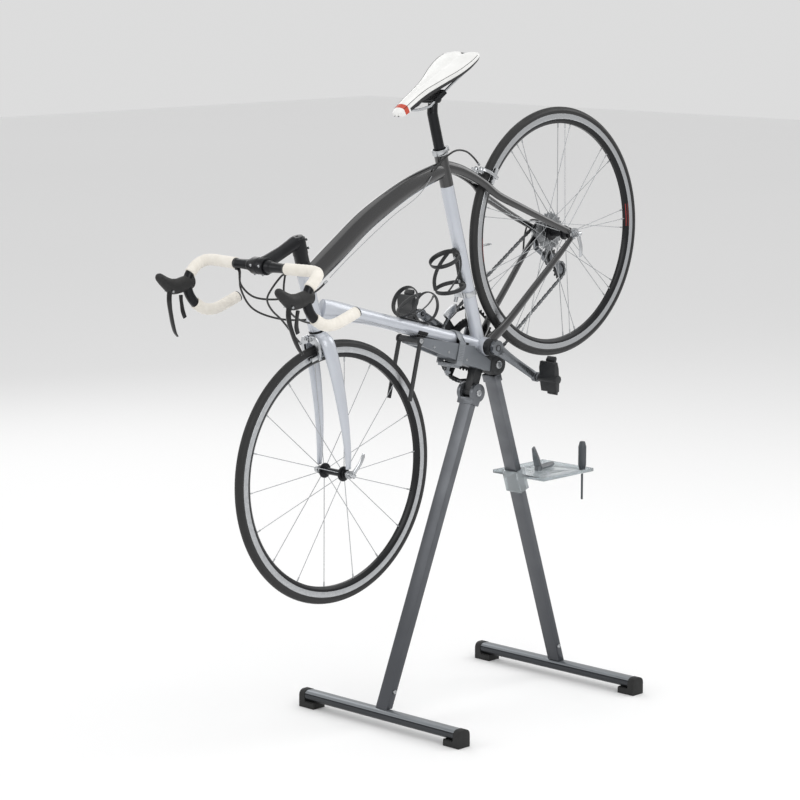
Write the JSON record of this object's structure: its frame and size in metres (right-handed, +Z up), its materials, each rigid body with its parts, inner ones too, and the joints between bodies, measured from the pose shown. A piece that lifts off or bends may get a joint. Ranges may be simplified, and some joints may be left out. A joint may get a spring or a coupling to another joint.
{
  "type": "bicycle on stand",
  "caption": "Road bicycle held by its bottom bracket in a folding repair stand, with turning wheels, cranks, brakes and steering, and a tool tray on the rear leg.",
  "frame": {"origin": "centre of the overall bounding box in X and Y, on the floor", "axes": "+X towards the bicycle's front, +Y to its left, +Z up"},
  "size_m": [1.5645, 0.576, 1.7221],
  "materials": {
    "anthracite_paint": "satin metallic",
    "beam_paint": "satin",
    "black_rubber": "matte",
    "black_plastic": "matte",
    "strap_plastic": "satin",
    "zinc_steel": "plated",
    "clear_plastic": "clear",
    "tool_handle": "gloss",
    "tool_steel": "satin",
    "frame_finish": "clear-coated",
    "fork_finish": "clear-coated",
    "black_anodised": "satin anodised",
    "bar_tape": "padded",
    "hood_rubber": "matte",
    "black_lever": "gloss",
    "cable_black": "satin",
    "saddle_leather": "smooth",
    "polished_steel": "polished",
    "tyre_rubber": "matte",
    "rim_metal": "black with machined track",
    "silver_alloy": "polished",
    "dark_chainring": "anodised",
    "chain_steel": "oiled"
  },
  "bodies": {
    "stand": {"support_beam": "beam_paint", "beam_pads": "black_rubber", "stand_head": "black_plastic", "clamp_strap": "strap_plastic", "stand_pins": "zinc_steel", "frame": "frame_finish", "headset": "black_plastic", "seat_clamp": "zinc_steel", "bottom_bracket": "zinc_steel", "frame_cables": "cable_black", "front_derailleur": "silver_alloy", "rear_derailleur": "silver_alloy", "chain": "chain_steel", "bottle_cages": "black_plastic", "rear_axle": "polished_steel"},
    "front_leg": {"front_leg": "anthracite_paint", "front_foot_bar": "anthracite_paint", "front_feet": "black_rubber"},
    "rear_leg": {"rear_leg": "anthracite_paint", "rear_foot_bar": "anthracite_paint", "rear_feet": "black_rubber"},
    "tray": {"tool_tray": "clear_plastic"},
    "screwdriver": {"screwdriver": "tool_handle"},
    "pliers": {"pliers": "tool_steel"},
    "fork_rest": {"fork_rest": "anthracite_paint"},
    "steering": {"fork": "fork_finish", "stem": "black_anodised", "handlebar": "black_anodised", "bar_tape": "bar_tape", "lever_hoods": "hood_rubber", "front_axle": "polished_steel", "front_cables": "cable_black"},
    "left_brake_lever": {"left_brake_lever": "black_lever"},
    "right_brake_lever": {"right_brake_lever": "black_lever"},
    "left_shift_lever": {"left_shift_lever": "black_plastic"},
    "right_shift_lever": {"right_shift_lever": "black_plastic"},
    "front_wheel": {"front_tyre": "tyre_rubber", "front_rim": "rim_metal", "front_spokes": "polished_steel", "front_hub": "black_anodised"},
    "front_quick_release": {"front_quick_release": "silver_alloy"},
    "front_brake_left": {"front_brake_left": "silver_alloy"},
    "front_brake_right": {"front_brake_right": "silver_alloy"},
    "rear_brake_left": {"rear_brake_left": "silver_alloy"},
    "rear_brake_right": {"rear_brake_right": "silver_alloy"},
    "seatpost": {"seatpost": "black_anodised", "saddle": "saddle_leather", "saddle_rails": "polished_steel"},
    "crank": {"crankset": "silver_alloy", "chainrings": "dark_chainring"},
    "left_pedal": {"left_pedal": "black_plastic"},
    "right_pedal": {"right_pedal": "black_plastic"},
    "cassette": {"cassette": "polished_steel"},
    "rear_wheel": {"rear_tyre": "tyre_rubber", "rear_rim": "rim_metal", "rear_spokes": "polished_steel", "rear_hub": "black_anodised"},
    "rear_quick_release": {"rear_quick_release": "silver_alloy"},
    "upper_jockey_wheel": {"upper_jockey_wheel": "black_plastic"},
    "lower_jockey_wheel": {"lower_jockey_wheel": "black_plastic"}
  },
  "joints": [
    {"name": "front_leg_fold", "type": "hinge", "parent": "stand", "child": "front_leg", "pos_m": [-0.1183, 0, 0.835], "axis": [0, 1, 0], "range_deg": [0, 30]},
    {"name": "rear_leg_fold", "type": "hinge", "parent": "stand", "child": "rear_leg", "pos_m": [-0.1883, 0, 0.9035], "axis": [0, -1, 0], "range_deg": [0, 8]},
    {"name": "fork_rest_swing", "type": "hinge", "parent": "stand", "child": "fork_rest", "pos_m": [0.113, 0, 0.9985], "axis": [0, -1, 0], "range_deg": [-6, 60]},
    {"name": "tray_slide", "type": "slide", "parent": "rear_leg", "child": "tray", "axis": [0.3123, 0, 0.95], "range_m": [-0.25, 0.05]},
    {"name": "screwdriver_lift", "type": "slide", "parent": "tray", "child": "screwdriver", "axis": [0, 0, 1], "range_m": [0, 0.15]},
    {"name": "pliers_lift", "type": "slide", "parent": "tray", "child": "pliers", "axis": [0, 0, 1], "range_m": [0, 0.15]},
    {"name": "steering", "type": "hinge", "parent": "stand", "child": "steering", "pos_m": [0.34793, 0, 0.70256], "axis": [0.2656, 0, 0.9641], "range_deg": [-4, 4]},
    {"name": "left_brake_lever_pivot", "type": "hinge", "parent": "steering", "child": "left_brake_lever", "pos_m": [0.73964, 0.21, 1.16142], "axis": [0, 1, 0], "range_deg": [0, 12], "stiffness_Nm_per_rad": 2},
    {"name": "right_brake_lever_pivot", "type": "hinge", "parent": "steering", "child": "right_brake_lever", "pos_m": [0.73964, -0.21, 1.16142], "axis": [0, 1, 0], "range_deg": [0, 12], "stiffness_Nm_per_rad": 2},
    {"name": "left_shift_pivot", "type": "hinge", "parent": "steering", "child": "left_shift_lever", "pos_m": [0.70354, 0.205, 1.14428], "axis": [-0.8396, 0, 0.5432], "range_deg": [0, 12], "stiffness_Nm_per_rad": 0.5},
    {"name": "right_shift_pivot", "type": "hinge", "parent": "steering", "child": "right_shift_lever", "pos_m": [0.70354, -0.205, 1.14428], "axis": [0.8396, 0, -0.5432], "range_deg": [0, 12], "stiffness_Nm_per_rad": 0.5},
    {"name": "front_wheel_spin", "type": "hinge", "parent": "steering", "child": "front_wheel", "pos_m": [0.3865, 0, 0.69194], "axis": [0, 1, 0], "continuous": true},
    {"name": "front_release_lever", "type": "hinge", "parent": "steering", "child": "front_quick_release", "pos_m": [0.3865, 0.066, 0.69194], "axis": [-0.7976, 0, -0.6032], "range_deg": [0, 150]},
    {"name": "front_brake_left_pivot", "type": "hinge", "parent": "steering", "child": "front_brake_left", "pos_m": [0.48103, 0.009, 1.03516], "axis": [0.9641, 0, -0.2656], "range_deg": [-2, 1]},
    {"name": "front_brake_right_pivot", "type": "hinge", "parent": "steering", "child": "front_brake_right", "pos_m": [0.48103, -0.009, 1.03516], "axis": [0.9641, 0, -0.2656], "range_deg": [-1, 2]},
    {"name": "rear_brake_left_pivot", "type": "hinge", "parent": "stand", "child": "rear_brake_left", "pos_m": [-0.13159, 0.009, 1.3943], "axis": [0.4555, 0, -0.8902], "range_deg": [-2, 1]},
    {"name": "rear_brake_right_pivot", "type": "hinge", "parent": "stand", "child": "rear_brake_right", "pos_m": [-0.13159, -0.009, 1.3943], "axis": [0.4555, 0, -0.8902], "range_deg": [-1, 2]},
    {"name": "seatpost_height", "type": "slide", "parent": "stand", "child": "seatpost", "axis": [0.2807, 0, 0.9598], "range_m": [-0.015, 0.06]},
    {"name": "crank_spin", "type": "hinge", "parent": "stand", "child": "crank", "pos_m": [-0.149, 0, 0.955], "axis": [0, 1, 0], "continuous": true},
    {"name": "left_pedal_spin", "type": "hinge", "parent": "crank", "child": "left_pedal", "pos_m": [-0.2951, 0.118, 0.8633], "axis": [0, 1, 0], "continuous": true},
    {"name": "right_pedal_spin", "type": "hinge", "parent": "crank", "child": "right_pedal", "pos_m": [-0.0029, -0.118, 1.0467], "axis": [0, 1, 0], "continuous": true},
    {"name": "cassette_spin", "type": "hinge", "parent": "stand", "child": "cassette", "pos_m": [-0.4485, 0, 1.23213], "axis": [0, 1, 0], "continuous": true},
    {"name": "rear_wheel_spin", "type": "hinge", "parent": "stand", "child": "rear_wheel", "pos_m": [-0.4485, 0, 1.23213], "axis": [0, 1, 0], "continuous": true},
    {"name": "rear_release_lever", "type": "hinge", "parent": "stand", "child": "rear_quick_release", "pos_m": [-0.4485, 0.084, 1.23213], "axis": [0.9947, 0, -0.1028], "range_deg": [0, 150]},
    {"name": "upper_jockey_spin", "type": "hinge", "parent": "stand", "child": "upper_jockey_wheel", "pos_m": [-0.48658, -0.0465, 1.15671], "axis": [0, 1, 0], "continuous": true},
    {"name": "lower_jockey_spin", "type": "hinge", "parent": "stand", "child": "lower_jockey_wheel", "pos_m": [-0.52183, -0.0465, 1.11878], "axis": [0, 1, 0], "continuous": true}
  ],
  "couplings": [
    {"joint": "cassette_spin", "follows": "crank_spin", "ratio": 3.5714},
    {"joint": "upper_jockey_spin", "follows": "crank_spin", "ratio": -4.5455},
    {"joint": "lower_jockey_spin", "follows": "crank_spin", "ratio": 4.5455},
    {"joint": "front_brake_left_pivot", "follows": "left_brake_lever_pivot", "ratio": -0.12},
    {"joint": "front_brake_right_pivot", "follows": "left_brake_lever_pivot", "ratio": 0.12},
    {"joint": "rear_brake_left_pivot", "follows": "right_brake_lever_pivot", "ratio": -0.12},
    {"joint": "rear_brake_right_pivot", "follows": "right_brake_lever_pivot", "ratio": 0.12}
  ]
}
